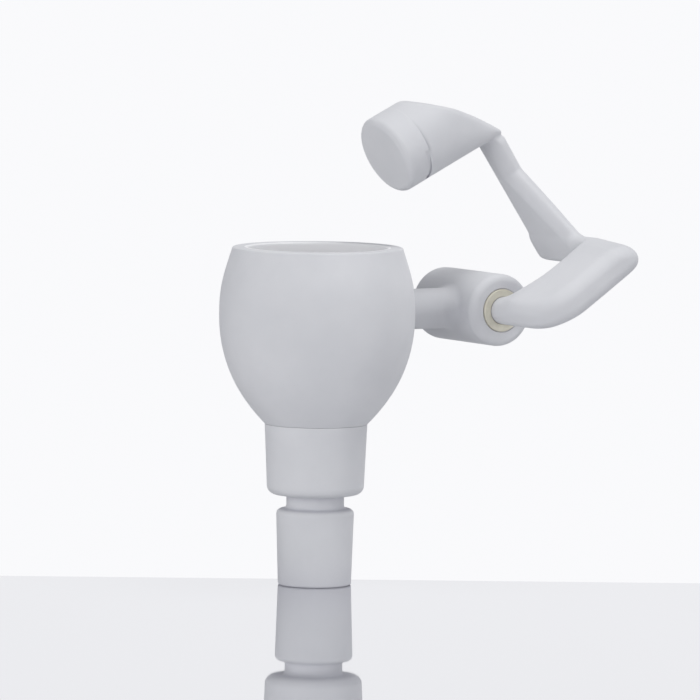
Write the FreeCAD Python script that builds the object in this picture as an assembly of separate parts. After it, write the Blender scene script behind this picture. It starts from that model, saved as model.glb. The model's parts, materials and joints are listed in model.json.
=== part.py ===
import FreeCAD, Part
import math
import os

# Swing-head bowl on a stepped taper joint, all sizes in mm.
# +Z is up along the bowl's axis, +X runs from the bowl out to the hinge, -Y is the hinge's front face.
# The origin is the centre of the taper plug's bottom face.

V = FreeCAD.Vector
Z_AXIS = V(0, 0, 1)
X_AXIS = V(1, 0, 0)
Y_AXIS = V(0, 1, 0)

# Gap left between static pieces that touch, and around plain screw shanks.
SEAT = 0.05
STATIC_FIT = 0.10
# Radial running clearance of the hinge shaft in its bushings.
RUNNING_FIT = 0.05

# Taper plug (nominal 14.5 mm joint) and collar (nominal 18.8 mm joint).
PLUG_BOTTOM_R = 6.85
PLUG_TOP_R = 7.30
PLUG_TOP_Z = 14.1
PLUG_EDGE_R = 1.0
GROOVE_ROOT_R = 0.6
GROOVE_R = 5.40
COLLAR_BOTTOM_Z = 17.0
COLLAR_BOTTOM_R = 9.02
COLLAR_TOP_R = 9.60
COLLAR_EDGE_R = 1.7
NECK_Z = 30.2
AIRWAY_R = 3.0
AIRWAY_TOP_Z = 30.5
SPIGOT_R = 5.0
SPIGOT_TOP_Z = 37.4

# Egg-shaped bowl.
RIM_Z = 63.3
RIM_OUTER_R = 15.90
RIM_INNER_R = 13.0
MOUTH_LAND_Z = 60.2
MOUTH_LAND_R = 12.75
RIM_EDGE_R = 0.35
BOWL_FLOOR_Z = 33.4
BOWL_FLOOR_R = 8.4
BOWL_OUTER = ((31.3, 10.60), (34.5, 13.20), (38.0, 15.35), (42.5, 17.15), (47.0, 18.10),
              (51.5, 18.30), (56.0, 17.95), (60.3, 16.85))
BOWL_INNER = ((34.4, 10.1), (38.0, 12.5), (42.5, 14.25), (47.0, 15.20),
              (51.5, 15.40), (56.0, 14.90))

# Gasket under the bowl, ring nut on its floor, and spacer that carries the dish.
GASKET_INNER_R = 5.2
GASKET_OUTER_R = 8.2
GASKET_T = 0.6
NUT_T = 2.4
NUT_FLATS_R = 6.9
SPACER_T = 1.2
SPACER_R = 5.8

# Inner dish and the hollow post that clamps it.
DISH_R = 7.6
DISH_WALL = 0.8
DISH_FLOOR_T = 1.3
DISH_RIM_Z = 45.1
POST_R = 1.9
POST_BORE_R = 1.1
POST_FLANGE_R = 3.0
POST_FLANGE_T = 0.7
POST_TOP_Z = 43.9
POST_THREAD_R = 2.1
POST_THREAD_DEPTH = 6.0

# Hinge position and barrel.
PIVOT_X = 34.8
PIVOT_Z = 51.0
BARREL_R = 6.8
BARREL_FRONT_Y = -9.8
BARREL_REAR_Y = 12.4
BARREL_EDGE_R = 1.4
BARREL_REAR_EDGE_R = 2.4
STUB_R = 3.8
STUB_FILLET_R = 2.6
BRACKET_SPIGOT_R = 2.6

# Fixing of the bracket: insert in the stub, screw and saddle washer inside the bowl.
BRACKET_INSERT_R = 1.7
BRACKET_INSERT_LENGTH = 5.0
BRACKET_SCREW_R = 1.0
BRACKET_SCREW_HEAD_R = 1.9
BRACKET_SCREW_HEAD_T = 1.2
SADDLE_R = 3.4
SADDLE_FACE_X = 14.2

# Hinge bushings and what holds the shaft in them.
BUSHING_R = 4.0
BUSHING_PROUD = 0.25
BUSHING_EDGE_R = 0.2
BUSHING_MOUTH = 0.2
FRONT_BUSHING_LENGTH = 7.0
REAR_BUSHING_LENGTH = 5.0
REAR_BUSHING_Y = 1.5
FRONT_JOURNAL_R = 2.50
REAR_JOURNAL_R = 2.20
SHOULDER_Y = 1.4
SHAFT_END_Y = 7.4
BARREL_RELIEF_R = 3.4
CAVITY_R = 4.3
REAR_CAP_T = 1.8
SPRING_T = 0.3
SPRING_R = 3.5
SPRING_HEIGHT = 0.8
END_WASHER_R = 3.4
END_WASHER_T = 0.5
END_SCREW_R = 0.9
END_SCREW_HEAD_R = 1.7
END_SCREW_HEAD_T = 1.1
SHAFT_INSERT_R = 1.4
SHAFT_INSERT_LENGTH = 4.0

# Crank arm, measured from the pivot with the arm closed: u outwards, a forwards, z upwards.
OPEN_ANGLE = 64.0
ARM_THICK_MIN_U = -3.9
ARM_THICK_MAX_U = 3.5
ARM_FRONT_A = 28.3
ARM_INNER_A = 15.9
ARM_REAR_A = -3.7
ARM_BOTTOM_Z = -2.4
ARM_TOP_Z = 23.0
CROSS_BOTTOM_Z = 18.7
CRANK_LEAN = 8.0
ARM_CORNER_R = 2.8
ARM_EDGE_R = 1.7
HORN_START_A = 10.2
ROD_EDGE_R = 1.3
# Corners of the rod seen from the front (u, z) and from above (u, a).
ROD_SIDE = ((-29.5, 14.4), (-3.5, 18.5), (-3.5, 21.6), (-27.2, 19.0), (-29.5, 17.2))
ROD_PLAN = ((-29.5, 2.6), (-29.5, -2.9), (-3.5, -3.3), (-3.5, 12.5), (-19.5, 2.6))

# Head: a round block closed by a screwed-on cup.
HEAD_U = -34.8
HEAD_R = 7.6
HEAD_BLOCK_R = 7.55
HEAD_FACE_Z = -5.6
HEAD_EDGE_R = 1.2
HEAD_SHOULDER_Z = 2.8
CUP_HEIGHT = 5.3
CUP_FLOOR_T = 1.6
CUP_WALL = 1.3
HEAD_CORE_R = 6.2
SEAL_SECTION_R = 0.55
SEAL_Z = -2.2
SLOT_WIDTH = 0.9
SLOT_LENGTH = 7.5
SLOT_DEPTH = 0.35
SLOT_ANGLE = -56.0


def rounded_outline(corners, place):
    """Edges of an outline whose corners (x, y, radius) are rounded; place turns (x, y) into a point."""
    edges = []
    starts = []
    ends = []
    count = len(corners)
    for i in range(count):
        x, y, radius = corners[i]
        if radius == 0:
            starts.append(place(x, y))
            ends.append(place(x, y))
            continue
        (ax, ay), (bx, by) = [direction((x, y), corners[j % count]) for j in (i - 1, i + 1)]
        half = math.acos(ax * bx + ay * by) / 2.0
        reach = radius / math.tan(half)
        away = radius / math.sin(half) - radius
        mx, my = direction((0, 0), (ax + bx, ay + by))
        starts.append(place(x + ax * reach, y + ay * reach))
        ends.append(place(x + bx * reach, y + by * reach))
        edges.append(Part.Arc(starts[-1], place(x + mx * away, y + my * away), ends[-1]).toShape())
    for i in range(count):
        edges.append(Part.makeLine(ends[i], starts[(i + 1) % count]))
    return edges


def direction(start, end):
    """Unit vector in the plane from one (x, y) to another."""
    dx, dy = end[0] - start[0], end[1] - start[1]
    length = math.hypot(dx, dy)
    return dx / length, dy / length


def turned(corners):
    """Solid of revolution about the Z axis of an outline with corners (radius, height, rounding)."""
    edges = rounded_outline(corners, lambda x, y: V(x, 0, y))
    face = Part.Face(Part.Wire(Part.__sortEdges__(edges)))
    return face.revolve(V(0, 0, 0), Z_AXIS, 360)


def cylinder(radius, start, end):
    """Cylinder between two points."""
    run = end - start
    return Part.makeCylinder(radius, run.Length, start, run)


def ring(outer, inner, start, end):
    """Tube between two points."""
    return cylinder(outer, start, end).cut(cylinder(inner, start, end))


def on_axis(z):
    return V(0, 0, z)


def on_pivot(y):
    """Point on the hinge axis."""
    return V(PIVOT_X, y, PIVOT_Z)


def fillet_where(solid, radius, test):
    """Round every edge whose middle point passes the test."""
    edges = []
    for edge in solid.Edges:
        first, last = edge.ParameterRange
        if test(edge.valueAt((first + last) / 2.0)):
            edges.append(edge)
    return solid.makeFillet(radius, edges)


def hexagon(radius_to_flats, z, height):
    corner = radius_to_flats / math.cos(math.pi / 6)
    points = [V(corner * math.cos(i * math.pi / 3), corner * math.sin(i * math.pi / 3), z) for i in range(7)]
    return Part.Face(Part.makePolygon(points)).extrude(V(0, 0, height))


def stepped_stem():
    return turned(((AIRWAY_R, 0, 0), (PLUG_BOTTOM_R, 0, 0.4), (PLUG_TOP_R, PLUG_TOP_Z, PLUG_EDGE_R),
                   (GROOVE_R, PLUG_TOP_Z + 0.4, GROOVE_ROOT_R), (GROOVE_R, COLLAR_BOTTOM_Z, GROOVE_ROOT_R),
                   (COLLAR_BOTTOM_R, COLLAR_BOTTOM_Z, COLLAR_EDGE_R), (COLLAR_TOP_R, NECK_Z, 0),
                   (GASKET_OUTER_R + STATIC_FIT, NECK_Z, 0),
                   (GASKET_OUTER_R + STATIC_FIT, NECK_Z - GASKET_T, 0),
                   (SPIGOT_R, NECK_Z - GASKET_T, 0), (SPIGOT_R, SPIGOT_TOP_Z, 0.3),
                   (POST_THREAD_R + STATIC_FIT, SPIGOT_TOP_Z, 0),
                   (POST_THREAD_R + STATIC_FIT, AIRWAY_TOP_Z, 0), (AIRWAY_R, AIRWAY_TOP_Z, 0)))


def stem_gasket():
    return ring(GASKET_OUTER_R, GASKET_INNER_R, on_axis(NECK_Z - GASKET_T), on_axis(NECK_Z + SEAT))


def bowl_profile(stations, low, high):
    curve = Part.BSplineCurve()
    curve.interpolate([V(r, 0, z) for z, r in (low,) + stations + (high,)])
    return curve.toShape()


def bowl_body():
    """The bowl before its side hole is cut."""
    base_z = NECK_Z + SEAT
    outer = bowl_profile(BOWL_OUTER, (base_z, COLLAR_TOP_R), (RIM_Z, RIM_OUTER_R))
    inner = bowl_profile(BOWL_INNER, (BOWL_FLOOR_Z, BOWL_FLOOR_R), (MOUTH_LAND_Z, MOUTH_LAND_R))
    hole = SPIGOT_R + STATIC_FIT
    land = Part.makeLine(V(RIM_INNER_R, 0, RIM_Z), V(MOUTH_LAND_R, 0, MOUTH_LAND_Z))
    rim = Part.makeLine(V(RIM_OUTER_R, 0, RIM_Z), V(RIM_INNER_R, 0, RIM_Z))
    floor = Part.makeLine(V(BOWL_FLOOR_R, 0, BOWL_FLOOR_Z), V(hole, 0, BOWL_FLOOR_Z))
    wall = Part.makeLine(V(hole, 0, BOWL_FLOOR_Z), V(hole, 0, base_z))
    base = Part.makeLine(V(hole, 0, base_z), V(COLLAR_TOP_R, 0, base_z))
    wire = Part.Wire(Part.__sortEdges__([outer, rim, land, inner, floor, wall, base]))
    body = Part.Face(wire).revolve(V(0, 0, 0), Z_AXIS, 360)
    return fillet_where(body, RIM_EDGE_R, lambda p: abs(p.z - RIM_Z) < 0.01)


def bowl_shell(body):
    hole = cylinder(BRACKET_SPIGOT_R + STATIC_FIT, V(5.0, 0, PIVOT_Z), V(25.0, 0, PIVOT_Z))
    return body.cut(hole)


def stem_nut():
    nut = hexagon(NUT_FLATS_R, BOWL_FLOOR_Z + SEAT, NUT_T)
    return nut.cut(cylinder(SPIGOT_R + STATIC_FIT, on_axis(BOWL_FLOOR_Z - 1), on_axis(BOWL_FLOOR_Z + 5)))


def dish_floor_z():
    return SPIGOT_TOP_Z + SEAT + SPACER_T + SEAT


def dish_spacer():
    low = SPIGOT_TOP_Z + SEAT
    return ring(SPACER_R, POST_THREAD_R + STATIC_FIT, on_axis(low), on_axis(low + SPACER_T))


def inner_dish():
    low = dish_floor_z()
    cup = cylinder(DISH_R, on_axis(low), on_axis(DISH_RIM_Z))
    cup = fillet_where(cup, 1.2, lambda p: abs(p.z - low) < 0.01)
    hollow = cylinder(DISH_R - DISH_WALL, on_axis(low + DISH_FLOOR_T), on_axis(DISH_RIM_Z + 3.0))
    hollow = fillet_where(hollow, 0.8, lambda p: abs(p.z - low - DISH_FLOOR_T) < 0.01)
    hole = cylinder(POST_THREAD_R + STATIC_FIT, on_axis(low - 1.0), on_axis(low + 3.0))
    return cup.cut(hollow).cut(hole)


def air_post():
    """Hollow bolt: its flange clamps the dish and its thread goes down into the stem."""
    seat = dish_floor_z() + DISH_FLOOR_T + SEAT
    thread = cylinder(POST_THREAD_R, on_axis(SPIGOT_TOP_Z - POST_THREAD_DEPTH), on_axis(seat))
    flange = hexagon(POST_FLANGE_R, seat, POST_FLANGE_T)
    tube = cylinder(POST_R, on_axis(seat), on_axis(POST_TOP_Z))
    tube = fillet_where(tube, 0.4, lambda p: abs(p.z - POST_TOP_Z) < 0.01)
    body = thread.fuse(flange).fuse(tube)
    return body.cut(cylinder(POST_BORE_R, on_axis(0), on_axis(POST_TOP_Z + 1.0)))


def hinge_bracket(bowl):
    """Barrel and stub in one piece; the stub's end follows the bowl's curve."""
    barrel = cylinder(BARREL_R, on_pivot(BARREL_FRONT_Y), on_pivot(BARREL_REAR_Y))
    stub = cylinder(STUB_R, V(16.5, 0, PIVOT_Z), V(PIVOT_X, 0, PIVOT_Z))
    body = barrel.fuse(stub)
    body = fillet_where(body, STUB_FILLET_R, on_stub_root)
    body = fillet_where(body, BARREL_EDGE_R, lambda p: abs(p.y - BARREL_FRONT_Y) < 0.01)
    body = fillet_where(body, BARREL_REAR_EDGE_R, lambda p: abs(p.y - BARREL_REAR_Y) < 0.01)
    body = body.cut(bowl.translated(V(SEAT, 0, 0)))
    body = body.fuse(cylinder(BRACKET_SPIGOT_R, V(15.9, 0, PIVOT_Z), V(19.0, 0, PIVOT_Z)))
    body = body.cut(cylinder(BRACKET_INSERT_R + SEAT, V(0, 0, PIVOT_Z), V(22.2, 0, PIVOT_Z)))
    bores = (
        (BUSHING_R + SEAT, BARREL_FRONT_Y - 1.0, BARREL_FRONT_Y + FRONT_BUSHING_LENGTH),
        (BARREL_RELIEF_R, BARREL_FRONT_Y, BARREL_REAR_Y),
        (BUSHING_R + SEAT, REAR_BUSHING_Y, BARREL_REAR_Y),
        (CAVITY_R, REAR_BUSHING_Y + REAR_BUSHING_LENGTH, BARREL_REAR_Y + 1.0),
    )
    for radius, front, rear in bores:
        body = body.cut(cylinder(radius, on_pivot(front), on_pivot(rear)))
    mouth_r = BUSHING_R + SEAT
    mouth = Part.makeCone(mouth_r + BUSHING_MOUTH, mouth_r, BUSHING_MOUTH, on_pivot(BARREL_FRONT_Y), Y_AXIS)
    return body.cut(mouth)


def on_stub_root(point):
    """True on the curve where the stub meets the barrel."""
    from_stub_axis = math.hypot(point.y, point.z - PIVOT_Z)
    from_hinge_axis = math.hypot(point.x - PIVOT_X, point.z - PIVOT_Z)
    return abs(from_stub_axis - STUB_R) < 0.1 and abs(from_hinge_axis - BARREL_R) < 0.1 and point.x < PIVOT_X


def bracket_insert():
    end = 22.0
    return ring(BRACKET_INSERT_R, BRACKET_SCREW_R + SEAT, V(end - BRACKET_INSERT_LENGTH, 0, PIVOT_Z),
                V(end, 0, PIVOT_Z))


def saddle_washer(bowl):
    blank = ring(SADDLE_R, BRACKET_SCREW_R + STATIC_FIT, V(SADDLE_FACE_X, 0, PIVOT_Z), V(15.8, 0, PIVOT_Z))
    return blank.cut(bowl.translated(V(-SEAT, 0, 0))).cut(
        cylinder(BRACKET_SPIGOT_R + STATIC_FIT, V(15.3, 0, PIVOT_Z), V(17.0, 0, PIVOT_Z)))


def bracket_screw():
    under_head = SADDLE_FACE_X - SEAT
    head = cylinder(BRACKET_SCREW_HEAD_R, V(under_head - BRACKET_SCREW_HEAD_T, 0, PIVOT_Z),
                    V(under_head, 0, PIVOT_Z))
    head = fillet_where(head, 0.4, lambda p: abs(p.x - under_head + BRACKET_SCREW_HEAD_T) < 0.01)
    socket = cylinder(0.9, V(0, 0, PIVOT_Z), V(under_head - 0.5, 0, PIVOT_Z))
    shank = cylinder(BRACKET_SCREW_R, V(under_head - 0.3, 0, PIVOT_Z), V(21.0, 0, PIVOT_Z))
    return head.cut(socket).fuse(shank)


def front_bushing():
    """Bearing that stands a little proud of the barrel, with rounded edges at its front."""
    front = BARREL_FRONT_Y - BUSHING_PROUD
    body = ring(BUSHING_R, FRONT_JOURNAL_R + RUNNING_FIT, on_pivot(front),
                on_pivot(BARREL_FRONT_Y + FRONT_BUSHING_LENGTH - SEAT))
    return fillet_where(body, BUSHING_EDGE_R, lambda p: abs(p.y - front) < 0.01)


def rear_bushing():
    front = REAR_BUSHING_Y + SEAT
    return ring(BUSHING_R, REAR_JOURNAL_R + RUNNING_FIT, on_pivot(front),
                on_pivot(front + REAR_BUSHING_LENGTH - SEAT))


def rear_cap():
    disc = cylinder(CAVITY_R - SEAT, on_pivot(BARREL_REAR_Y - REAR_CAP_T), on_pivot(BARREL_REAR_Y + 0.3))
    return fillet_where(disc, 0.3, lambda p: abs(p.y - BARREL_REAR_Y - 0.3) < 0.01)


def local(u, a, z):
    """Point of the closed arm: u outwards from the pivot, a forwards, z up."""
    return V(PIVOT_X + u, -a, PIVOT_Z + z)


def curve_through(points):
    curve = Part.BSplineCurve()
    curve.interpolate(points)
    return curve.toShape()


def prism(edges, run):
    return Part.Face(Part.Wire(Part.__sortEdges__(edges))).extrude(run)


def crank_plate():
    """C-shaped crank: one leg in front of the barrel and a cross piece back over it."""
    corners = (
        (ARM_INNER_A - 1.5, ARM_BOTTOM_Z, 0.5),
        (ARM_FRONT_A, ARM_BOTTOM_Z, ARM_CORNER_R + 1.5),
        (ARM_FRONT_A, ARM_TOP_Z, ARM_CORNER_R),
        (ARM_REAR_A, ARM_TOP_Z, 2.0),
        (ARM_REAR_A, CROSS_BOTTOM_Z, 2.0),
        (ARM_INNER_A, CROSS_BOTTOM_Z, 2.4),
        (ARM_INNER_A, 6.0, 4.0),
    )
    outline = rounded_outline(corners, lambda a, z: local(ARM_THICK_MIN_U, a, z))
    plate = prism(outline, V(ARM_THICK_MAX_U - ARM_THICK_MIN_U, 0, 0))
    on_face = (PIVOT_X + ARM_THICK_MIN_U, PIVOT_X + ARM_THICK_MAX_U)
    plate = fillet_where(plate, ARM_EDGE_R, lambda p: min(abs(p.x - x) for x in on_face) < 0.01)
    plate.rotate(on_pivot(0), Y_AXIS, -CRANK_LEAN)
    return plate


def shaft():
    """Journals in the two bushings, and the horn that widens into the crank."""
    front = cylinder(FRONT_JOURNAL_R, on_pivot(SHOULDER_Y), on_pivot(-ARM_INNER_A - 4.0))
    rear = cylinder(REAR_JOURNAL_R, on_pivot(SHAFT_END_Y), on_pivot(SHOULDER_Y - 1.0))
    length = ARM_INNER_A + 2.0 - HORN_START_A
    flare = curve_through([V(FRONT_JOURNAL_R, 0, 0), V(FRONT_JOURNAL_R + 0.25, 0, length * 0.4),
                           V(FRONT_JOURNAL_R + 0.9, 0, length)])
    edges = [flare, Part.makeLine(V(FRONT_JOURNAL_R + 0.9, 0, length), V(0, 0, length)),
             Part.makeLine(V(0, 0, length), V(0, 0, 0)),
             Part.makeLine(V(0, 0, 0), V(FRONT_JOURNAL_R, 0, 0))]
    horn = Part.Face(Part.Wire(Part.__sortEdges__(edges))).revolve(V(0, 0, 0), Z_AXIS, 360)
    horn.rotate(V(0, 0, 0), X_AXIS, 90)
    horn.translate(on_pivot(-HORN_START_A))
    hole = cylinder(SHAFT_INSERT_R + SEAT, on_pivot(SHAFT_END_Y - SHAFT_INSERT_LENGTH - 0.5),
                    on_pivot(SHAFT_END_Y + 1.0))
    return front.fuse(rear).fuse(horn), hole


def rod():
    """Rod from the crank to the head; its front side widens where it joins the crank."""
    side = [local(u, -20, z) for u, z in ROD_SIDE]
    side_prism = Part.Face(Part.makePolygon(side + side[:1])).extrude(V(0, -60, 0))
    plan = [local(u, a, 10.0) for u, a in ROD_PLAN]
    body = Part.Face(Part.makePolygon(plan + plan[:1])).extrude(V(0, 0, 20)).common(side_prism)
    head_end = PIVOT_X + ROD_SIDE[3][0] + 0.1
    crank_end = PIVOT_X + ROD_SIDE[1][0] - 0.1
    return fillet_where(body, ROD_EDGE_R, lambda p: head_end < p.x < crank_end)


def head_block():
    """Round block whose outer side curves over into the rod; its spigot carries the cup."""
    seat_z = HEAD_FACE_Z + CUP_HEIGHT
    top = PIVOT_Z + 20.4
    block = cylinder(HEAD_BLOCK_R, local(HEAD_U, 0, seat_z), V(PIVOT_X + HEAD_U, 0, top))
    over = ((-42.4, HEAD_SHOULDER_Z), (-40.6, 5.3), (-37.4, 9.3), (-33.8, 13.3), (-30.2, 16.8),
            (-26.0, 19.2))
    side = [curve_through([local(u, -20, z) for u, z in over])]
    frame = [over[-1], (-26.0, seat_z), (-42.4, seat_z), over[0]]
    for first, last in zip(frame, frame[1:]):
        side.append(Part.makeLine(local(first[0], -20, first[1]), local(last[0], -20, last[1])))
    block = block.common(prism(side, V(0, -60, 0)))
    narrow = ((HEAD_R + 0.1, HEAD_SHOULDER_Z + 1.0), (7.0, 8.0), (5.6, 12.5), (3.6, 17.0), (2.4, 20.5))
    front = [curve_through([local(-50, a, z) for a, z in narrow])]
    front.append(curve_through([local(-50, -a, z) for a, z in narrow]))
    base = ((narrow[0][0], seat_z), (-narrow[0][0], seat_z))
    front.append(Part.makeLine(local(-50, narrow[0][0], narrow[0][1]), local(-50, base[0][0], seat_z)))
    front.append(Part.makeLine(local(-50, base[0][0], seat_z), local(-50, base[1][0], seat_z)))
    front.append(Part.makeLine(local(-50, base[1][0], seat_z), local(-50, base[1][0], narrow[0][1])))
    half, tip_z = narrow[-1]
    front.append(Part.makeLine(local(-50, half, tip_z), local(-50, -half, tip_z)))
    block = block.common(prism(front, V(60, 0, 0)))
    core_z = HEAD_FACE_Z + CUP_FLOOR_T + SEAT
    core = cylinder(HEAD_CORE_R, local(HEAD_U, 0, core_z), local(HEAD_U, 0, seat_z))
    groove = ring(HEAD_CORE_R + 1.0, HEAD_CORE_R - 2 * SEAL_SECTION_R, local(HEAD_U, 0, SEAL_Z - 0.65),
                  local(HEAD_U, 0, SEAL_Z + 0.65))
    return block.fuse(core.cut(groove))


def crank_arm():
    journals, hole = shaft()
    return crank_plate().fuse(journals).fuse(rod()).fuse(head_block()).cut(hole).removeSplitter()


def head_cup():
    low = local(HEAD_U, 0, HEAD_FACE_Z)
    high = local(HEAD_U, 0, HEAD_FACE_Z + CUP_HEIGHT - SEAT)
    cup = fillet_where(cylinder(HEAD_R, low, high), HEAD_EDGE_R, lambda p: abs(p.z - low.z) < 0.01)
    hollow = cylinder(HEAD_R - CUP_WALL, low + V(0, 0, CUP_FLOOR_T), high + V(0, 0, 1.0))
    slot = ring(HEAD_R + 1.0, HEAD_R - SLOT_DEPTH, high - V(0, 0, SLOT_WIDTH), high + V(0, 0, 1.0))
    window = Part.makeBox(6.0, SLOT_LENGTH, 6.0, V(HEAD_R - 3.0, -SLOT_LENGTH / 2.0, 0))
    window.rotate(V(0, 0, 0), Z_AXIS, SLOT_ANGLE)
    window.translate(high - V(0, 0, 3.0))
    return cup.cut(hollow).cut(slot.common(window))


def head_seal():
    seal = Part.makeTorus(HEAD_R - CUP_WALL - SEAL_SECTION_R - 0.03, SEAL_SECTION_R)
    return seal.translated(local(HEAD_U, 0, SEAL_Z))


def shaft_insert():
    return ring(SHAFT_INSERT_R, END_SCREW_R + SEAT, on_pivot(SHAFT_END_Y - SHAFT_INSERT_LENGTH),
                on_pivot(SHAFT_END_Y - 0.1))


def disc_spring():
    """Coned spring washer between the rear bushing and the end washer; it sets the hinge's friction."""
    inner = REAR_JOURNAL_R + STATIC_FIT
    rise = SPRING_HEIGHT - SPRING_T
    cone = turned(((inner, rise, 0), (SPRING_R, 0, 0), (SPRING_R, SPRING_T, 0), (inner, rise + SPRING_T, 0)))
    cone.rotate(V(0, 0, 0), X_AXIS, -90)
    return cone.translated(on_pivot(SHAFT_END_Y - SPRING_HEIGHT))


def end_washer():
    return ring(END_WASHER_R, END_SCREW_R + STATIC_FIT, on_pivot(SHAFT_END_Y + 0.02),
                on_pivot(SHAFT_END_Y + END_WASHER_T))


def end_screw():
    seat = SHAFT_END_Y + END_WASHER_T + 0.02
    head = cylinder(END_SCREW_HEAD_R, on_pivot(seat), on_pivot(seat + END_SCREW_HEAD_T))
    socket = cylinder(0.8, on_pivot(seat + 0.5), on_pivot(seat + 3.0))
    return head.cut(socket).fuse(cylinder(END_SCREW_R, on_pivot(seat - 3.8), on_pivot(seat + 0.3)))


def main():
    bowl = bowl_body()
    fixed = {
        "stepped_stem": stepped_stem(),
        "stem_gasket": stem_gasket(),
        "bowl_shell": bowl_shell(bowl),
        "stem_nut": stem_nut(),
        "dish_spacer": dish_spacer(),
        "inner_dish": inner_dish(),
        "air_post": air_post(),
        "hinge_bracket": hinge_bracket(bowl),
        "bracket_insert": bracket_insert(),
        "saddle_washer": saddle_washer(bowl),
        "bracket_screw": bracket_screw(),
        "front_bushing": front_bushing(),
        "rear_bushing": rear_bushing(),
        "rear_cap": rear_cap(),
    }
    swinging = {
        "crank_arm": crank_arm(),
        "head_cup": head_cup(),
        "head_seal": head_seal(),
        "shaft_insert": shaft_insert(),
        "disc_spring": disc_spring(),
        "end_washer": end_washer(),
        "end_screw": end_screw(),
    }
    # The arm is drawn closed and stored open.
    for shape in swinging.values():
        shape.rotate(on_pivot(0), Y_AXIS, OPEN_ANGLE)
    os.makedirs("parts", exist_ok=True)
    for name, shape in {**fixed, **swinging}.items():
        shape.exportStep("parts/" + name + ".step")


main()
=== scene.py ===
import json
import math

import bmesh
import bpy
import numpy as np
import openvdb
from mathutils import Matrix, Vector


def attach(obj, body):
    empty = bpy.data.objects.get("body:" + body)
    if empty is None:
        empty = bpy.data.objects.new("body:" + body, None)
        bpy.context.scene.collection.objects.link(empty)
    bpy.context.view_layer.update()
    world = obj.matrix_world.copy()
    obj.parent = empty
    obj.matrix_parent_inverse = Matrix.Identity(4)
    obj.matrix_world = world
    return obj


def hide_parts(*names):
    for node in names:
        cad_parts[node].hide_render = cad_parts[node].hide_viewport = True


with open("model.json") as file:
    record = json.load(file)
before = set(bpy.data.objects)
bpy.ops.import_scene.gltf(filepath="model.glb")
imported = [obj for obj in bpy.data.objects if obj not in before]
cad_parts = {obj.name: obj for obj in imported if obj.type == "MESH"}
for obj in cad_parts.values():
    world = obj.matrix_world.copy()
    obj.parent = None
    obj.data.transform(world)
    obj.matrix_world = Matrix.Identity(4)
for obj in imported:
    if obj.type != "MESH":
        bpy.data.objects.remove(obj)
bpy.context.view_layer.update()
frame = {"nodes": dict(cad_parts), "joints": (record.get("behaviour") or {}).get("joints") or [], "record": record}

MM = 0.001
SHARP_ANGLE = math.radians(35.0)
FAR_AWAY = 1e9
PIVOT = Vector(frame["joints"][0]["pos_m"])
CLOSED_ANGLE = math.radians(frame["joints"][0]["range_deg"][1])


# ---------------------------------------------------------------- implicit shapes, in millimetres

def soft_union(a, b, blend):
    """Union of two distance fields with a fillet of about the blend's size."""
    share = np.clip(0.5 + 0.5 * (b - a) / blend, 0.0, 1.0)
    return b * (1.0 - share) + a * share - blend * share * (1.0 - share)


def soft_common(a, b, blend):
    return -soft_union(-a, -b, blend)


def softened(corners, rounds=3):
    """Cuts the corners of a closed outline until it is a smooth curve; a doubled corner stays sharp."""
    for _ in range(rounds):
        cut = []
        for (x0, y0), (x1, y1) in zip(corners, corners[1:] + corners[:1]):
            if (x0, y0) != (x1, y1):
                cut.append((0.75 * x0 + 0.25 * x1, 0.75 * y0 + 0.25 * y1))
                cut.append((0.25 * x0 + 0.75 * x1, 0.25 * y0 + 0.75 * y1))
            else:
                cut += [(x0, y0), (x0, y0)]
        corners = cut
    return corners


def exact_distance(x, y, corners):
    """Signed distance from points of a plane to a closed outline, negative inside."""
    nearest = np.full(np.broadcast(x, y).shape, FAR_AWAY, dtype=np.float32)
    inside = np.zeros(nearest.shape, dtype=bool)
    for (x0, y0), (x1, y1) in zip(corners, corners[1:] + corners[:1]):
        dx, dy = x1 - x0, y1 - y0
        if dx == 0.0 and dy == 0.0:
            continue
        along = np.clip(((x - x0) * dx + (y - y0) * dy) / (dx * dx + dy * dy), 0.0, 1.0)
        nearest = np.minimum(nearest, np.hypot(x - x0 - along * dx, y - y0 - along * dy))
        crosses = (y0 > y) != (y1 > y)
        slope = dx / dy if dy else 0.0
        inside ^= crosses & (x < x0 + (y - y0) * slope)
    return np.where(inside, -nearest, nearest)


def outline_distance(x, y, corners, step=0.2):
    """The same as exact_distance, looked up in a fine table, which is quick for many points."""
    low_x, high_x = float(x.min()), float(x.max())
    low_y, high_y = float(y.min()), float(y.max())
    table_x = low_x + step * np.arange(int((high_x - low_x) / step) + 3)
    table_y = low_y + step * np.arange(int((high_y - low_y) / step) + 3)
    table = exact_distance(table_x[:, None], table_y[None, :], corners).astype(np.float32)
    fx, fy = (x - low_x) / step, (y - low_y) / step
    ix, iy = fx.astype(np.int32), fy.astype(np.int32)
    tx, ty = fx - ix, fy - iy
    near = table[ix, iy] * (1.0 - tx) + table[ix + 1, iy] * tx
    far = table[ix, iy + 1] * (1.0 - tx) + table[ix + 1, iy + 1] * tx
    return near * (1.0 - ty) + far * ty


def ramp(value, low, high):
    """0 below low, 1 above high, smooth between."""
    t = np.clip((value - low) / (high - low), 0.0, 1.0)
    return t * t * (3.0 - 2.0 * t)


def slab(value, low, high):
    return np.abs(value - (low + high) / 2.0) - (high - low) / 2.0


def rounded(a, b, radius):
    """Common part of two fields, with a round edge where they meet."""
    ax, bx = a + radius, b + radius
    outside = np.hypot(np.maximum(ax, 0.0), np.maximum(bx, 0.0))
    return np.minimum(np.maximum(ax, bx), 0.0) + outside - radius


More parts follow.
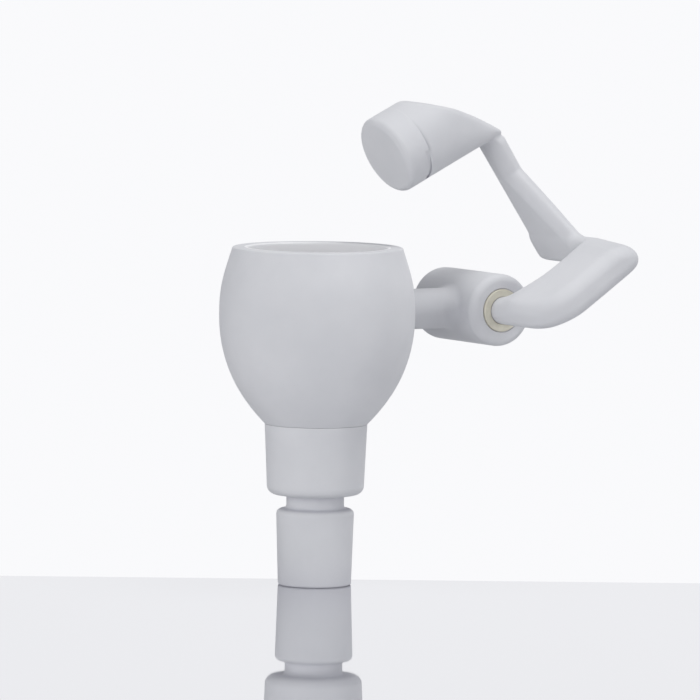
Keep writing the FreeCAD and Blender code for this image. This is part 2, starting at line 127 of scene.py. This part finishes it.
def surface(field, low, voxel):
    """bmesh of the surface where the field is zero, in millimetres."""
    grid = openvdb.FloatGrid(1.0)
    grid.copyFromArray(field.astype(np.float32))
    points, quads = grid.convertToQuads(0.0)
    mesh = bpy.data.meshes.new("surface")
    mesh.from_pydata((points * voxel + np.array(low)).tolist(), [], quads.tolist())
    shape = bmesh.new()
    shape.from_mesh(mesh)
    bpy.data.meshes.remove(mesh)
    return shape


def turn_profile(shape, profile, centre, sides=96):
    """Adds a closed turned solid; the profile is (radius, height) and starts and ends on the axis."""
    rings = []
    for radius, height in profile[1:-1]:
        ring = []
        for i in range(sides):
            angle = 2.0 * math.pi * i / sides
            at = (centre[0] + radius * math.cos(angle), centre[1] + radius * math.sin(angle), height)
            ring.append(shape.verts.new(at))
        rings.append(ring)
    for lower, upper in zip(rings, rings[1:]):
        for i in range(sides):
            j = (i + 1) % sides
            shape.faces.new((lower[i], lower[j], upper[j], upper[i]))
    shape.faces.new(rings[0][::-1])
    shape.faces.new(rings[-1])


def new_piece(name, shape, place):
    """Object from a bmesh in millimetres, put in its place and smoothed except at sharp edges."""
    mesh = bpy.data.meshes.new(name)
    shape.to_mesh(mesh)
    shape.free()
    mesh.transform(place @ Matrix.Scale(MM, 4))
    mesh.update()
    mesh.shade_smooth()
    mesh.set_sharp_from_angle(angle=SHARP_ANGLE)
    piece = bpy.data.objects.new(name, mesh)
    bpy.context.collection.objects.link(piece)
    return piece


# ---------------------------------------------------------------- the crank arm

# Measured from the pivot with the arm closed: u outwards, a forwards, z up, as in the design.
# The crank leans, so it has its own p (through its thickness) and q (up it).
ARM_LOW = (-45.0, -10.0, -7.0)
ARM_HIGH = (6.5, 31.0, 26.0)
ARM_VOXEL = 0.22
JOURNAL_R = 2.50
REAR_JOURNAL_R = 2.20
JOURNAL_STEP_A = -1.4
SHAFT_END_A = -7.4
SHAFT_FRONT_A = 16.0
ROOT_A = 10.2
ROOT_BELOW_Z = 8.0
FOOT_Z = 18.72
FOOT_SLOPE = 0.158
CRANK_LEAN = math.radians(8.0)
CRANK_BACK_P = 3.9
CRANK_FACE_P = 3.6
CRANK_EDGE_R = 2.35
CRANK_FACE_BLEND = 0.8
CRANK_OUTLINE = [(6.0, -2.5), (14.0, -2.5), (18.5, -2.5), (23.0, -2.3), (26.2, -0.6), (28.05, 3.4),
                 (28.2, 9.0), (28.2, 16.0), (28.1, 20.6), (26.4, 22.6), (22.0, 22.6), (4.0, 22.5),
                 (-3.5, 22.5), (-3.6, 20.4), (-3.5, 18.2), (-1.0, 18.1), (8.0, 18.2), (14.4, 18.3),
                 (16.2, 17.9), (16.3, 15.5), (16.3, 9.5), (15.8, 6.2), (13.8, 3.7), (11.6, 2.5), (6.0, 2.5)]
# From where to where the crank thickens after the round shaft, and from where its back thins again.
BACK_GROWS_A = (9.5, 19.0)
FACE_GROWS_A = (12.0, 26.0)
FACE_GROWS_Q = (-4.0, 7.0)
FULL_THICK_Z = (8.0, 14.0)
THINS_FROM_A = 17.0
THINS_FROM_Q = 17.5
FRONT_TAPER = 0.11
TOP_TAPER = 0.40
# Above this height, what lies under the foot's sloping plane is cut away. The cut fades out along a.
FOOT_ABOVE_Z = 12.0
FOOT_FADES_A = (10.0, 16.0)
FOOT_FADE = 30.0
FOOT_BLEND = 1.5
NO_CUT = -1e3
ROD_SIDE = [(-30.0, 14.1), (-0.5, 18.78), (-0.5, 22.1), (-12.0, 21.0), (-26.5, 19.2), (-30.0, 16.5)]
ROD_PLAN = [(-30.0, 2.9), (-30.0, -3.1), (-3.5, -3.6), (2.0, -3.6), (2.0, 15.0), (-3.5, 13.0),
            (-19.8, 2.9)]
ROD_EDGE_R = 2.5
ROD_TO_CRANK = 1.1
ROD_TO_HEAD = 0.6
HEAD_U = -34.8
HEAD_R = 7.57
HEAD_SEAT_Z = -0.345
HEAD_SLOPE = [(-43.0, -2.0), (-43.0, 2.0), (-40.8, 5.1), (-37.4, 9.5), (-33.8, 13.4), (-30.2, 16.9),
              (-28.4, 18.4), (-26.6, 19.4), (-25.0, 19.7), (-25.0, -2.0)]
HEAD_HALF = [(8.2, -2.0), (8.0, 3.2), (7.3, 7.4), (6.2, 11.0), (4.8, 14.3), (3.4, 17.0), (2.4, 20.8)]
HEAD_NARROW = [(-half, z) for half, z in HEAD_HALF] + HEAD_HALF[::-1]
SLOPE_BLEND = 0.7
NARROW_BLEND = 1.6
# Only the surface beyond this u and below this z is cut at the seat.
CUT_BEYOND_U = -25.0
CUT_BELOW_Z = 4.0
CUT_TOLERANCE = 1e-4
CORE_R = 6.2
CORE_LOW_Z = -3.9
CORE_HIGH_Z = 0.4
SEAL_GROOVE_Z = -2.2
SEAL_GROOVE_HALF = 0.65
SEAL_GROOVE_R = 5.1


def arm_axes():
    """Coordinates of every grid point, as three arrays that broadcast."""
    counts = [int((high - low) / ARM_VOXEL) + 1 for low, high in zip(ARM_LOW, ARM_HIGH)]
    u, a, z = [low + ARM_VOXEL * np.arange(n, dtype=np.float32) for low, n in zip(ARM_LOW, counts)]
    return u[:, None, None], a[None, :, None], z[None, None, :]


def crank_field(u, a, z):
    """C-shaped crank with soft edges, which grows out of the round shaft."""
    p = u * math.cos(CRANK_LEAN) + z * math.sin(CRANK_LEAN)
    q = z * math.cos(CRANK_LEAN) - u * math.sin(CRANK_LEAN)
    outline = outline_distance(a, q, softened(CRANK_OUTLINE))
    grown = ramp(a, *BACK_GROWS_A)
    far = ramp(z, *FULL_THICK_Z)
    back = JOURNAL_R + (CRANK_BACK_P - JOURNAL_R) * np.maximum(grown, far)
    back = back - FRONT_TAPER * np.maximum(a - THINS_FROM_A, 0.0)
    back = back - TOP_TAPER * np.maximum(q - THINS_FROM_Q, 0.0)
    near = ramp(a, *FACE_GROWS_A) * ramp(q, *FACE_GROWS_Q)
    face = JOURNAL_R + (CRANK_FACE_P - JOURNAL_R) * np.maximum(near, far)
    thick = soft_common(-back - p, p - face, CRANK_FACE_BLEND)
    body = rounded(outline, thick, CRANK_EDGE_R)
    before_root = np.where(z < ROOT_BELOW_Z, ROOT_A - a, NO_CUT)
    foot_z = FOOT_Z + FOOT_SLOPE * (u - ROD_SIDE[1][0])
    under_foot = np.where(z > FOOT_ABOVE_Z, foot_z - z, NO_CUT) - FOOT_FADE * ramp(a, *FOOT_FADES_A)
    return np.maximum(soft_common(body, under_foot, FOOT_BLEND), before_root)


def rod_field(u, a, z):
    side = outline_distance(u, z, ROD_SIDE)
    plan = outline_distance(u, a, ROD_PLAN)
    return rounded(side, plan, ROD_EDGE_R)


def head_field(u, a, z):
    """Round block that narrows into the rod."""
    barrel = np.hypot(u - HEAD_U, a) - HEAD_R
    slope = outline_distance(u, z, HEAD_SLOPE)
    narrow = outline_distance(a, z, softened(HEAD_NARROW))
    return soft_common(soft_common(barrel, slope, SLOPE_BLEND), narrow, NARROW_BLEND)


def shaft_field(u, a, z):
    from_axis = np.hypot(u, z)
    front = np.maximum(from_axis - JOURNAL_R, slab(a, JOURNAL_STEP_A, SHAFT_FRONT_A))
    rear = np.maximum(from_axis - REAR_JOURNAL_R, slab(a, SHAFT_END_A, 0.0))
    return np.minimum(front, rear)


def cut_flat(shape):
    """Cuts the head off flat at its seat, where the cup begins."""
    near = [v for v in shape.verts if v.co.x < CUT_BEYOND_U and v.co.z < CUT_BELOW_Z]
    # Dictionaries keep their order, as sets don't, so the mesh comes out the same each run.
    faces = dict.fromkeys(f for v in near for f in v.link_faces)
    edges = dict.fromkeys(e for f in faces for e in f.edges)
    corners = dict.fromkeys(v for f in faces for v in f.verts)
    geometry = [*corners, *edges, *faces]
    bmesh.ops.bisect_plane(shape, geom=geometry, dist=CUT_TOLERANCE, plane_co=(0.0, 0.0, HEAD_SEAT_Z),
                           plane_no=(0.0, 0.0, 1.0), clear_inner=True)
    rim = [e for e in shape.edges if e.is_boundary]
    bmesh.ops.edgeloop_fill(shape, edges=rim)


def crank_arm():
    u, a, z = arm_axes()
    rod = rod_field(u, a, z)
    body = soft_union(crank_field(u, a, z), rod, ROD_TO_CRANK)
    body = soft_union(body, head_field(u, a, z), ROD_TO_HEAD)
    body = np.minimum(body, shaft_field(u, a, z))
    shape = surface(body, ARM_LOW, ARM_VOXEL)
    cut_flat(shape)
    groove_low = SEAL_GROOVE_Z - SEAL_GROOVE_HALF
    groove_high = SEAL_GROOVE_Z + SEAL_GROOVE_HALF
    core = [(0.0, CORE_LOW_Z), (CORE_R, CORE_LOW_Z), (CORE_R, groove_low), (SEAL_GROOVE_R, groove_low),
            (SEAL_GROOVE_R, groove_high), (CORE_R, groove_high), (CORE_R, CORE_HIGH_Z), (0.0, CORE_HIGH_Z)]
    turn_profile(shape, core, (HEAD_U, 0.0))
    mirrored = Matrix.Diagonal((1.0, -1.0, 1.0, 1.0))
    place = Matrix.Translation(PIVOT) @ Matrix.Rotation(CLOSED_ANGLE, 4, "Y") @ mirrored
    piece = new_piece("crank_arm_smooth", shape, place)
    piece.data.flip_normals()
    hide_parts("crank_arm")
    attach(piece, "arm")
    return piece


# ---------------------------------------------------------------- materials

def node(tree, kind, inputs=(), **settings):
    """Adds a node, with its settings and its unlinked input values."""
    new = tree.nodes.new(kind)
    for key, value in settings.items():
        setattr(new, key, value)
    for key, value in dict(inputs).items():
        new.inputs[key].default_value = value
    return new


def noise(tree, place, scale, detail=4.0, roughness=0.5):
    new = node(tree, "ShaderNodeTexNoise", {"Scale": scale, "Detail": detail, "Roughness": roughness})
    tree.links.new(place, new.inputs["Vector"])
    return new.outputs["Fac"]


def remap(tree, value, low, high, to_low, to_high):
    new = node(tree, "ShaderNodeMapRange",
               {"From Min": low, "From Max": high, "To Min": to_low, "To Max": to_high})
    tree.links.new(value, new.inputs["Value"])
    return new.outputs["Result"]


def mixed(tree, share, first, second):
    new = node(tree, "ShaderNodeMix", data_type="RGBA")
    tree.links.new(share, new.inputs[0])
    for socket, colour in ((new.inputs[6], first), (new.inputs[7], second)):
        if isinstance(colour, tuple):
            socket.default_value = colour + (1.0,)
        else:
            tree.links.new(colour, socket)
    return new.outputs[2]


def bump(tree, height, distance, strength, below=None):
    new = node(tree, "ShaderNodeBump", {"Distance": distance, "Strength": strength})
    tree.links.new(height, new.inputs["Height"])
    if below is not None:
        tree.links.new(below, new.inputs["Normal"])
    return new.outputs["Normal"]


def new_material(name):
    material = bpy.data.materials.new(name)
    material.use_nodes = True
    tree = material.node_tree
    place = node(tree, "ShaderNodeTexCoord").outputs["Object"]
    return material, tree, tree.nodes["Principled BSDF"], place


def axis_distance(tree, place, across):
    """Distance from an axis; across is 1 for the two directions across the axis and 0 along it."""
    flat = node(tree, "ShaderNodeVectorMath", operation="MULTIPLY")
    flat.inputs[1].default_value = across
    tree.links.new(place, flat.inputs[0])
    radius = node(tree, "ShaderNodeVectorMath", operation="LENGTH")
    tree.links.new(flat.outputs["Vector"], radius.inputs[0])
    return radius.outputs["Value"]


# Cosine between the true and the bevelled normal at which an edge counts in full.
EDGE_DOT = 0.86


def edge_share(tree, radius):
    """Near 1 along convex and concave edges, 0 on flat and gently curved surface."""
    soft = node(tree, "ShaderNodeBevel", {"Radius": radius}, samples=6)
    true = node(tree, "ShaderNodeNewGeometry")
    dot = node(tree, "ShaderNodeVectorMath", operation="DOT_PRODUCT")
    tree.links.new(soft.outputs["Normal"], dot.inputs[0])
    tree.links.new(true.outputs["Normal"], dot.inputs[1])
    return remap(tree, dot.outputs["Value"], 1.0, EDGE_DOT, 0.0, 1.0)


# A radius within the bowl's wall, and where the mask starts and ends: low and high level, value at each.
WALL_WIDENS = (0.0345, 0.0450, 0.0116, 0.0164)
WALL_NARROWS = (0.0560, 0.0633, 0.0164, 0.0137)
HOLLOW_STARTS = (0.0330, 0.0340, 0.0, 1.0)
HOLLOW_ENDS = (0.0634, 0.0636, 1.0, 0.0)


def inside_bowl(tree, place):
    """1 in the bowl's hollow and 0 outside it; it places the painted light inside the bowl."""
    radius = axis_distance(tree, place, (1.0, 1.0, 0.0))
    height = node(tree, "ShaderNodeSeparateXYZ")
    tree.links.new(place, height.inputs["Vector"])
    level = height.outputs["Z"]
    wall = node(tree, "ShaderNodeMath", operation="MINIMUM")
    tree.links.new(remap(tree, level, *WALL_WIDENS), wall.inputs[0])
    tree.links.new(remap(tree, level, *WALL_NARROWS), wall.inputs[1])
    share = node(tree, "ShaderNodeMath", operation="LESS_THAN")
    tree.links.new(radius, share.inputs[0])
    tree.links.new(wall.outputs["Value"], share.inputs[1])
    for limits in (HOLLOW_STARTS, HOLLOW_ENDS):
        limited = node(tree, "ShaderNodeMath", operation="MULTIPLY")
        tree.links.new(share.outputs["Value"], limited.inputs[0])
        tree.links.new(remap(tree, level, *limits), limited.inputs[1])
        share = limited
    return share.outputs["Value"]


# White body: linear colours of its clouding and specks, of edges lightened by rubbing wear and a painted
# highlight, of the painted shade in tight corners and of the painted light inside the bowl.
WHITE_CLOUDS = ((0.715, 0.722, 0.742), (0.755, 0.760, 0.778))
WHITE_SPECK = (0.47, 0.47, 0.48)
WHITE_RUBBED_AND_HIGHLIGHT = (0.80, 0.803, 0.815)
WHITE_PAINTED_SHADE = (0.50, 0.495, 0.565)
WHITE_PAINTED_LIGHT_INSIDE = (0.93, 0.93, 0.94)
# How wide the lightened edges are, and how far the ambient occlusion that places the painted shade reaches.
LIGHTENED_EDGE_WIDTH = 0.0004
PAINTED_SHADE_REACH = 0.014


def white_ceramic():
    """Unglazed cool-white body: faint clouding, specks, a fine grain and lighter edges, from rubbing wear and a
    painted highlight.

    Tight corners are darker, a painted shade, and the bowl's inside is paler, a painted light.
    """
    material, tree, shader, place = new_material("white_body")
    cloud = noise(tree, place, 95.0, 3.0)
    speck = noise(tree, place, 5200.0, 2.0)
    grain = noise(tree, place, 9000.0, 3.0, 0.6)
    base = mixed(tree, remap(tree, cloud, 0.32, 0.70, 0.0, 1.0), *WHITE_CLOUDS)
    base = mixed(tree, remap(tree, speck, 0.30, 0.24, 0.0, 0.35), base, WHITE_SPECK)
    # Edges lighter: partly rubbing wear, partly a painted highlight.
    rubbed_and_highlit = remap(tree, edge_share(tree, LIGHTENED_EDGE_WIDTH), 0.0, 1.0, 0.0, 0.45)
    base = mixed(tree, rubbed_and_highlit, base, WHITE_RUBBED_AND_HIGHLIGHT)
    # Painted shade: tight corners and crevices darker and bluer, placed by ambient occlusion.
    corners = node(tree, "ShaderNodeAmbientOcclusion", {"Distance": PAINTED_SHADE_REACH}, samples=8)
    base = mixed(tree, remap(tree, corners.outputs["AO"], 0.30, 0.75, 0.45, 0.0), base, WHITE_PAINTED_SHADE)
    # Painted light: the bowl's inside paler, standing in for light bounced around within it.
    base = mixed(tree, inside_bowl(tree, place), base, WHITE_PAINTED_LIGHT_INSIDE)
    tree.links.new(base, shader.inputs["Base Color"])
    tree.links.new(remap(tree, grain, 0.3, 0.7, 0.60, 0.72), shader.inputs["Roughness"])
    shader.inputs["Specular IOR Level"].default_value = 0.2
    waves = bump(tree, noise(tree, place, 420.0, 2.0), 0.00005, 0.35)
    tree.links.new(bump(tree, grain, 0.000012, 0.8, waves), shader.inputs["Normal"])
    return material


# Radians per metre of radius: one ring every 0.15 mm.
RING_RATE = 42000.0


def turned_ivory():
    """Ivory bearing plastic with the fine rings that turning leaves."""
    material, tree, shader, place = new_material("bushing")
    cloud = noise(tree, place, 600.0, 3.0)
    base = mixed(tree, remap(tree, cloud, 0.3, 0.7, 0.0, 1.0), (0.68, 0.652, 0.535), (0.76, 0.732, 0.615))
    tree.links.new(base, shader.inputs["Base Color"])
    centre = node(tree, "ShaderNodeVectorMath", operation="SUBTRACT")
    centre.inputs[1].default_value = PIVOT
    tree.links.new(place, centre.inputs[0])
    radius = axis_distance(tree, centre.outputs["Vector"], (1.0, 0.0, 1.0))
    rings = node(tree, "ShaderNodeMath", operation="SINE")
    scaled = node(tree, "ShaderNodeMath", {1: RING_RATE}, operation="MULTIPLY")
    tree.links.new(radius, scaled.inputs[0])
    tree.links.new(scaled.outputs["Value"], rings.inputs[0])
    tree.links.new(remap(tree, cloud, 0.3, 0.7, 0.32, 0.46), shader.inputs["Roughness"])
    tree.links.new(bump(tree, rings.outputs["Value"], 0.000006, 0.7), shader.inputs["Normal"])
    return material


def rubber():
    material, tree, shader, place = new_material("gasket")
    dust = noise(tree, place, 1800.0, 4.0)
    dusty = remap(tree, dust, 0.35, 0.75, 0.0, 1.0)
    base = mixed(tree, dusty, (0.022, 0.022, 0.024), (0.055, 0.054, 0.054))
    tree.links.new(base, shader.inputs["Base Color"])
    tree.links.new(remap(tree, dust, 0.3, 0.7, 0.62, 0.80), shader.inputs["Roughness"])
    tree.links.new(bump(tree, noise(tree, place, 7000.0), 0.00001, 0.6), shader.inputs["Normal"])
    return material


def metal(name, dark, light, scratch_scale):
    """Turned metal: drawn scratches and cloudy roughness."""
    material, tree, shader, place = new_material(name)
    stretch = node(tree, "ShaderNodeMapping", {"Scale": (1.0, 1.0, 14.0)})
    tree.links.new(place, stretch.inputs["Vector"])
    scratches = noise(tree, stretch.outputs["Vector"], scratch_scale, 5.0, 0.65)
    base = mixed(tree, remap(tree, scratches, 0.3, 0.7, 0.0, 1.0), dark, light)
    tree.links.new(base, shader.inputs["Base Color"])
    shader.inputs["Metallic"].default_value = 1.0
    cloud = noise(tree, place, 700.0, 3.0)
    tree.links.new(remap(tree, cloud, 0.3, 0.7, 0.24, 0.40), shader.inputs["Roughness"])
    tree.links.new(bump(tree, scratches, 0.000008, 0.5), shader.inputs["Normal"])
    return material


def warm_ceramic():
    material, tree, shader, place = new_material("spacer")
    cloud = noise(tree, place, 500.0, 4.0)
    base = mixed(tree, remap(tree, cloud, 0.3, 0.7, 0.0, 1.0), (0.66, 0.63, 0.55), (0.74, 0.71, 0.64))
    tree.links.new(base, shader.inputs["Base Color"])
    tree.links.new(remap(tree, cloud, 0.3, 0.7, 0.55, 0.70), shader.inputs["Roughness"])
    tree.links.new(bump(tree, noise(tree, place, 8000.0), 0.00001, 0.7), shader.inputs["Normal"])
    return material


def paint(piece, material):
    piece.data.materials.clear()
    piece.data.materials.append(material)


def repaint(materials):
    """Every CAD node takes the finish that its record slot names."""
    for subpart in frame["record"]["subparts"]:
        cad_node = frame["nodes"][subpart["node"]]
        for slot in cad_node.material_slots:
            slot.material = materials[subpart["material_slot"]]


# ---------------------------------------------------------------- floor, light and camera

TABLE_BACK = 0.0085
TABLE_DEPTH = 1.6
TABLE_HALF = 1.2
# The world's colour as the camera sees it, and its colour and strength as light on the object.
SEEN_WHITE = (0.953, 0.955, 0.972, 1.0)
LIGHTING_WHITE = (0.93, 0.94, 1.0, 1.0)
LIGHTING_STRENGTH = 0.36
# Name, place in metres and power in watts.
SOFT_LIGHTS = (
    ("left", (-1.0, -0.37, 0.27), 4.0),
    ("top", (0.34, -0.19, 1.08), 5.2),
    ("front", (-0.56, -0.91, 0.27), 0.55),
    ("right_front", (0.71, -0.82, 0.27), 1.9),
)
SOFTBOX = 0.55
LIT_POINT = Vector((0.015, 0.0, 0.045))
CAMERA_AT = Vector((-0.79043, -1.27483, 0.17276))
CAMERA_TARGET = Vector((0.00526, -0.00329, 0.04410))
CAMERA_ROLL = math.radians(0.62)
LENS_MM = 414.5
SENSOR_MM = 36.0
CLIP_END = 20.0


def view_heading():
    """Horizontal direction from the camera to the object."""
    run = CAMERA_TARGET - CAMERA_AT
    return Vector((run.x, run.y, 0.0)).normalized()


def table():
    """Glossy pale table top whose far edge is just behind the object."""
    ahead = view_heading()
    across = Vector((ahead.y, -ahead.x, 0.0))
    front = TABLE_BACK - TABLE_DEPTH
    places = ((TABLE_BACK, TABLE_HALF), (TABLE_BACK, -TABLE_HALF),
              (front, -TABLE_HALF), (front, TABLE_HALF))
    corners = [tuple(ahead * along + across * aside) for along, aside in places]
    mesh = bpy.data.meshes.new("table")
    mesh.from_pydata(corners, [], [(0, 3, 2, 1)])
    piece = bpy.data.objects.new("table", mesh)
    bpy.context.collection.objects.link(piece)
    material, tree, shader, place = new_material("table_gloss")
    cloud = noise(tree, place, 6.0, 2.0)
    base = mixed(tree, cloud, (0.75, 0.754, 0.78), (0.775, 0.779, 0.806))
    tree.links.new(base, shader.inputs["Base Color"])
    shader.inputs["Metallic"].default_value = 0.85
    shader.inputs["Roughness"].default_value = 0.02
    paint(piece, material)


def soft_light(name, at, power):
    """Square white area light aimed at the object's middle."""
    data = bpy.data.lights.new(name, "AREA")
    data.size = SOFTBOX
    data.energy = power
    lamp = bpy.data.objects.new(name, data)
    lamp.location = at
    lamp.rotation_euler = (LIT_POINT - Vector(at)).to_track_quat("-Z", "Y").to_euler()
    bpy.context.collection.objects.link(lamp)


def studio():
    """White surround: bright to the camera and in first reflections, dimmer as the object's light."""
    world = bpy.data.worlds.new("studio")
    bpy.context.scene.world = world
    world.use_nodes = True
    tree = world.node_tree
    seen = tree.nodes["Background"]
    seen.inputs["Color"].default_value = SEEN_WHITE
    lighting = node(tree, "ShaderNodeBackground")
    lighting.inputs["Strength"].default_value = LIGHTING_STRENGTH
    lighting.inputs["Color"].default_value = LIGHTING_WHITE
    path = node(tree, "ShaderNodeLightPath")
    chosen = node(tree, "ShaderNodeMixShader")
    first = node(tree, "ShaderNodeMath", {1: 0.5}, operation="LESS_THAN")
    tree.links.new(path.outputs["Diffuse Depth"], first.inputs[0])
    mirrored = node(tree, "ShaderNodeMath", operation="MULTIPLY")
    tree.links.new(path.outputs["Is Glossy Ray"], mirrored.inputs[0])
    tree.links.new(first.outputs["Value"], mirrored.inputs[1])
    sharp = node(tree, "ShaderNodeMath", operation="MAXIMUM")
    tree.links.new(path.outputs["Is Camera Ray"], sharp.inputs[0])
    tree.links.new(mirrored.outputs["Value"], sharp.inputs[1])
    tree.links.new(sharp.outputs["Value"], chosen.inputs[0])
    tree.links.new(lighting.outputs["Background"], chosen.inputs[1])
    tree.links.new(seen.outputs["Background"], chosen.inputs[2])
    tree.links.new(chosen.outputs["Shader"], tree.nodes["World Output"].inputs["Surface"])


def camera():
    data = bpy.data.cameras.new("camera")
    data.sensor_width = SENSOR_MM
    data.lens = LENS_MM
    data.clip_end = CLIP_END
    eye = bpy.data.objects.new("camera", data)
    facing = (CAMERA_TARGET - CAMERA_AT).to_track_quat("-Z", "Y").to_matrix().to_4x4()
    eye.matrix_world = Matrix.Translation(CAMERA_AT) @ facing @ Matrix.Rotation(CAMERA_ROLL, 4, "Z")
    bpy.context.collection.objects.link(eye)
    bpy.context.scene.camera = eye
    bpy.context.scene.view_settings.view_transform = "Standard"


def main():
    materials = {
        "white_body": white_ceramic(),
        "bushing": turned_ivory(),
        "gasket": rubber(),
        "spacer": warm_ceramic(),
        "steel": metal("steel", (0.42, 0.43, 0.45), (0.60, 0.61, 0.63), 2600.0),
        "brass": metal("brass", (0.52, 0.37, 0.14), (0.70, 0.53, 0.24), 2400.0),
    }
    repaint(materials)
    paint(crank_arm(), materials["white_body"])
    table()
    studio()
    for name, at, power in SOFT_LIGHTS:
        soft_light(name, at, power)
    camera()


main()
